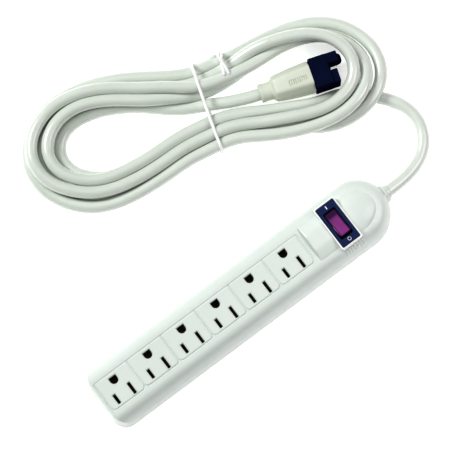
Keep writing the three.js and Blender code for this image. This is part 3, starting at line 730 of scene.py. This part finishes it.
def make_face():
    face = switch_block("plate", 14.2, 31.4, 0.8, [(31, 0), (32.15, 0), (32.33, 0.08), (32.4, 0.28)], PLATE)
    opening = [(20, 0), (32.0, 0), (32.25, -0.1), (32.45, -0.35)]
    combine(face, switch_block("window", 9.6, 21, 0.6, opening, PLATE))
    face.name = "switch_face"
    shown(smooth_edges(face), "housing", "plate", "switch_plate")


def make_symbols():
    """A bar for on and a ring for off, printed on the plate."""
    low, high = (SWITCH_X - 0.35, 12.0, 32.3), (SWITCH_X + 0.35, 14.4, 32.47)
    shown(rounded_box("symbol_on", low, high, 0.03, SYMBOL, 1), "housing", "frame")
    ring = at_height(arc(SWITCH_X, -13.1, 1.15, 0, FULL_TURN, 33), 32.42)
    shown(tube("symbol_off", ring, 0.2, SYMBOL, 8, ends=False), "housing", "frame")


def paint_rocker_shade():
    """Paints shade onto the lens along its sides and at its sunken end, where the fine bars inside it show
    through; the bars are its own, the shade is painted.
    """
    # Between the two numbers of each pair, in metres, the painted shade or the bars set in.
    sides, sunken_end_shade, barred = (0.0028, 0.0041), (0.0035, 0.0065), (0.0005, 0.004)
    # The bars are the tops of a sine wave along the lens.
    bar_waves, bar_edges, bar_strength = 5200.0, (0.2, 0.9), 0.55
    nodes, links = ROCKER.node_tree.nodes, ROCKER.node_tree.links
    shader = nodes["Principled BSDF"]
    clouded = shader.inputs["Base Color"].links[0].from_socket
    split = nodes.new("ShaderNodeSeparateXYZ")
    links.new(nodes.new("ShaderNodeTexCoord").outputs["Object"], split.inputs["Vector"])
    across, along = split.outputs["X"], split.outputs["Y"]

    def operation(kind, *values):
        node = nodes.new("ShaderNodeMath")
        node.operation = kind
        for socket, value in zip(node.inputs, values):
            if isinstance(value, float):
                socket.default_value = value
            else:
                links.new(value, socket)
        return node.outputs["Value"]

    def ramp(value, between):
        node = nodes.new("ShaderNodeMapRange")
        node.interpolation_type = "SMOOTHSTEP"
        set_inputs(node, From_Min=between[0], From_Max=between[1])
        links.new(value, node.inputs["Value"])
        return node.outputs["Result"]

    # Painted shade, growing from the middle out towards the lens's long sides.
    side = ramp(operation("ABSOLUTE", operation("SUBTRACT", across, SWITCH_X * MM)), sides)
    bars = operation("SINE", operation("MULTIPLY", along, bar_waves))
    bars = operation("MULTIPLY", ramp(bars, bar_edges), ramp(along, barred))
    # The painted shade of the sides and of the sunken end, with the lens's own bars over it.
    painted_shade_and_bars = operation("MAXIMUM", side, ramp(along, sunken_end_shade))
    painted_shade_and_bars = operation("MAXIMUM", painted_shade_and_bars, operation("MULTIPLY", bars, bar_strength))
    # The dark colour that the painted shade and the bars mix towards.
    mix = nodes.new("ShaderNodeMix")
    mix.data_type = "RGBA"
    links.new(operation("MULTIPLY", painted_shade_and_bars, 0.88), mix.inputs["Factor"])
    links.new(clouded, mix.inputs["A"])
    mix.inputs["B"].default_value = (0.022, 0.006, 0.045, 1)
    links.new(mix.outputs["Result"], shader.inputs["Base Color"])


def make_rocker():
    """The lens, level at first, from its profile along Y; it's then tilted on its pins to off."""
    profile = [
        (9.3, 3.3), (4.6, 2.2), (0, 1.8), (-4.6, 2.2), (-9.0, 3.3), (-9.3, 3.1), (-9.5, 2.5), (-9.5, 1.5),
        (-7, -3.5), (-2.2, -4), (-2.2, -6.4), (2.2, -6.4), (2.2, -4), (7, -3.5), (9.5, 1.5), (9.5, 2.8),
    ]
    rings = []
    for x, shrink in ((-4.3, 0.3), (-4.2, 0.1), (-4.0, 0), (4.0, 0), (4.2, 0.1), (4.3, 0.3)):
        rings.append([(x, y * (1 - shrink / 10), z - shrink * 0.8 if z > 0 else z) for y, z in profile])
    lens = loft("rocker_lens", rings, ROCKER, 40)
    combine(lens, turned("pins", [(-5.9, 1.2), (5.9, 1.2)], ROCKER, count=20), "UNION")
    smooth_edges(lens, 25)
    place = Matrix.Translation((SWITCH_X * MM, 0, PIVOT_HEIGHT * MM))
    lens.data.transform(place @ Matrix.Rotation(REST_TILT, 4, "X"))
    shown(lens, "rocker_assembly", "rocker", "rocker")


make_surround()
make_face()
make_symbols()
paint_rocker_shade()
make_rocker()

# ---- strain relief, plug and cap -------------------------------------------

# The plug is made with its blades along X and its blade face at 0, and then put here.
PLUG_TURN = math.radians(-18.3)
PLUG_PLACE = Matrix.Translation(Vector((128.85, 94.3, 12.1)) * MM) @ Matrix.Rotation(PLUG_TURN, 4, "Z")


def make_relief():
    profile = [(98, 4.6), (98.3, 5.0), (112.5, 5.3), (112.5, 7.3), (115, 7.3), (115, 5.3), (120.8, 5.3)]
    profile += [(121.6, 5.25), (122.4, 5.1), (123.1, 4.85), (123.5, 4.4)]
    shown(turned("relief_boot", profile, CORD, z=CORD_HEIGHT), "housing", "cord", "strain_relief")


def grip_section(x, wide, high, facets, count=72):
    """An oval that turns into an eight-sided section as facets goes from 0 to 1."""
    facets = min(max(facets, 0), 1)
    power = 2 + 24 * facets  # 2 gives an oval, and a high one flat sides
    steep, far = 0.8, 1.37  # the four slanting sides
    ring = []
    for a in np.linspace(0, FULL_TURN, count, False):
        across, up = abs(math.cos(a)) / (wide / 2), abs(math.sin(a)) / (high / 2)
        slanting = facets * ((across + steep * up) / far) ** power
        reach = (across**power + up**power + slanting) ** (-1 / power)
        ring.append((reach * math.cos(a), reach * math.sin(a)))
    return at_x(ring, x)


def make_plug():
    # Along the grip, from its cord end: x, width, height and how far it is faceted.
    sections = [
        (-37.2, 11.0, 11.0, 0), (-37.0, 12.4, 12.4, 0), (-36.6, 12.9, 12.9, 0), (-34.6, 12.9, 12.9, 0),
        (-34.3, 12.5, 12.5, 0), (-29.8, 12.6, 12.8, 0), (-29.2, 12.4, 12.6, 0.05), (-28.4, 13.2, 13.2, 0.3),
        (-27.2, 16, 15.6, 0.8), (-25.5, 17.5, 17.4, 1), (-20, 18.9, 19.9, 1), (-15, 20, 21.9, 1),
        (-9, 20.9, 23.2, 1), (-4, 21.5, 23.8, 1), (-0.7, 21.7, 24, 1), (-0.2, 21.4, 23.7, 1),
        (0, 20.8, 23.1, 1),
    ]
    grip = loft("plug_grip", [grip_section(*section) for section in spline(sections, 3)], PLUG, 35)
    bars = []
    for k in range(9):
        x = -16.4 + 1.5 * k
        top = np.interp(x, [section[0] for section in sections], [section[2] / 2 for section in sections])
        bars.append(rounded_box(f"bar_{k}", (x, -3.2, top - 0.5), (x + 0.8, 0.6, top + 1), 0.15, PLUG, 1))
    combine(grip, merged("bars", bars))
    smooth_edges(grip, 24)
    grip.data.transform(PLUG_PLACE)
    shown(grip, "housing", "plug", "plug_body")


def make_cap():
    """A block over the blade face, with a sleeve for the blades, one for the pin and a notch between them."""
    blade_z, side = 6.35, 10.65
    cap = rounded_box("block", (0.3, -side, -11.5), (13, side, 11.5), 0.8, CAP)
    combine(cap, rounded_box("blade_sleeve", (0.6, -side, -10.2), (17.9, -1.3, 10.2), 0.6, CAP), "UNION")
    combine(cap, rounded_box("web", (5, 0.6, -6), (14.2, 4, 8), 0.4, CAP), "UNION")
    pin_sleeve = [(1, 4.2), (19.6, 4.2), (21.4, 3.9), (22.6, 3.2), (23.3, 2.1), (23.5, 0.3)]
    combine(cap, turned("pin_sleeve", pin_sleeve, CAP, y=6.3), "UNION")
    combine(cap, rounded_box("pin_block", (1, 3.3, -4), (20.8, side, 10.8), 0.9, CAP), "UNION")
    for z in (-blade_z, blade_z):
        combine(cap, rounded_box("blade_room", (-1, -9.8, z - 1.15), (17.1, -2.6, z + 1.15), 0.1, CAP, 1))
    combine(cap, turned("pin_room", [(-1, 2.85), (21.3, 2.85)], CAP, y=5.7))
    cap.name = "cap_shell"
    smooth_edges(cap, 40)
    cap.data.transform(PLUG_PLACE)
    shown(cap, "housing", "cap", "plug_cap")


make_relief()
make_plug()
make_cap()

# ---- tie -------------------------------------------------------------------

TIE_R = 1.1
# The line that the tie's two ends are twisted round, and the loose end of each beyond the twist.
TWIST = [(87.2, 147.6, 9.5), (87.4, 146, 15.5), (86.8, 142.5, 18.6), (85.9, 139.4, 19.6)]
FIRST_END = [(85.5, 136.4, 19.9), (85.1, 133, 19.5), (84.6, 129.6, 18.7)]
SECOND_END = [(84.3, 137, 19.9), (83.0, 134, 19.7), (81.6, 130.8, 18.9)]
# From the twist under the hank's waist, up over it and back to the twist.
ROUND_WAIST = [
    (85, 146, 2.4), (74, 141.5, 1.2), (66, 136, 1.2), (58, 112, 1.2), (52, 94.5, 1.4), (49.5, 90.6, 4.5),
    (49.2, 90.6, 10), (49.8, 92.5, 17.5), (53, 104, 19), (62, 132, 19), (66.6, 145.4, 18.2),
    (68.6, 150.4, 10), (70.4, 150.6, 5.5), (75, 149.6, 4.6), (81, 148.2, 4.8),
]


def twisted(centre, radius, turns, start):
    """One strand of a pair wound round a line."""
    ahead = directions(centre)
    across = unit(np.cross(ahead, (0.3, -0.8, 0.5)))
    angle = start + FULL_TURN * turns * np.linspace(0, 1, len(centre))[:, None]
    return centre + radius * (across * np.cos(angle) + np.cross(ahead, across) * np.sin(angle))


def make_tie():
    first, second = (twisted(spline(TWIST, 8), 1.15, 1.0, start) for start in (0, HALF_TURN))
    points = [*FIRST_END[::-1], *first[::-1], *ROUND_WAIST, *second, *SECOND_END]
    shown(tube("wire_tie", evenly(spline(points, 5), 0.8), TIE_R, TIE, 12), "housing", "tie", "cord_tie")


make_tie()

# ---- pieces that keep their CAD shape --------------------------------------

KEPT = {
    STEEL: [f"cover_screw_{i}" for i in range(1, 7)] + ["rocker_spring", "bimetal_strip"],
    BRASS_WITH_PAINTED_SHADE: ["rocker_plunger", "contact_bridge", "switch_terminal_line", "switch_terminal_load",
            # The brass of these parts is darkened with painted shade.
            "switch_terminal_lamp", "line_bus_bar", "neutral_bus_bar", "ground_bus_bar"],
    BRIGHT_BRASS: ["plug_blade_line", "plug_blade_neutral", "plug_ground_pin"],
    PHENOLIC: ["switch_body"],
    LAMP: ["neon_lamp"],
    BLACK: ["wire_line", "wire_load"],
    WHITE: ["wire_neutral"],
    GREEN: ["wire_ground"],
}
for mat, names in KEPT.items():
    for name in names:
        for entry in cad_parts[name].material_slots:
            entry.material = mat

# ---- floor and light -------------------------------------------------------

FLOOR_HALF, FLOOR_Z = 9, -0.0003  # just below the housing, whose bottom is at 0
WORLD_STRENGTH = 0.12
LIGHTS_AIM = Vector((0.03, 0.07, 0))
# Place, size, power and colour.
LIGHTS = {
    "key": ((-1.1, 1.9, 2.0), 0.9, 48, (1, 1, 1)),
    "top": ((-0.1, 0.5, 2.8), 1.2, 11, (1, 1, 1)),
    "fill": ((0.55, -0.3, 0.65), 0.5, 2.4, (1, 0.93, 0.98)),
}


def make_floor():
    mesh = bpy.data.meshes.new("floor")
    corners = [(x * FLOOR_HALF, y * FLOOR_HALF, FLOOR_Z) for x, y in ((-1, -1), (1, -1), (1, 1), (-1, 1))]
    mesh.from_pydata(corners, [], [(0, 1, 2, 3)])
    floor = linked("floor", mesh)
    paint = material("floor_paint", (0.92, 0.92, 0.92), 0.7, 0.003, bump=0.0,
                     Emission_Color=(1, 1, 1, 1), Emission_Strength=0.36)
    mesh.materials.append(paint)


def light_scene():
    world = bpy.data.worlds.new("studio")
    bpy.context.scene.world = world
    world.use_nodes = True
    set_inputs(world.node_tree.nodes["Background"], Color=(1, 1, 1, 1), Strength=WORLD_STRENGTH)
    for name, (place, size, power, colour) in LIGHTS.items():
        light = linked(name, bpy.data.lights.new(name, "AREA"))
        light.location = place
        turn_to(light, LIGHTS_AIM - Vector(place))
        light.data.size, light.data.energy, light.data.color = size, power, colour
        light.visible_glossy = name != "top"  # so that the plate doesn't mirror it
    view = bpy.context.scene.view_settings
    view.view_transform, view.look = "Standard", "High Contrast"


make_floor()
light_scene()
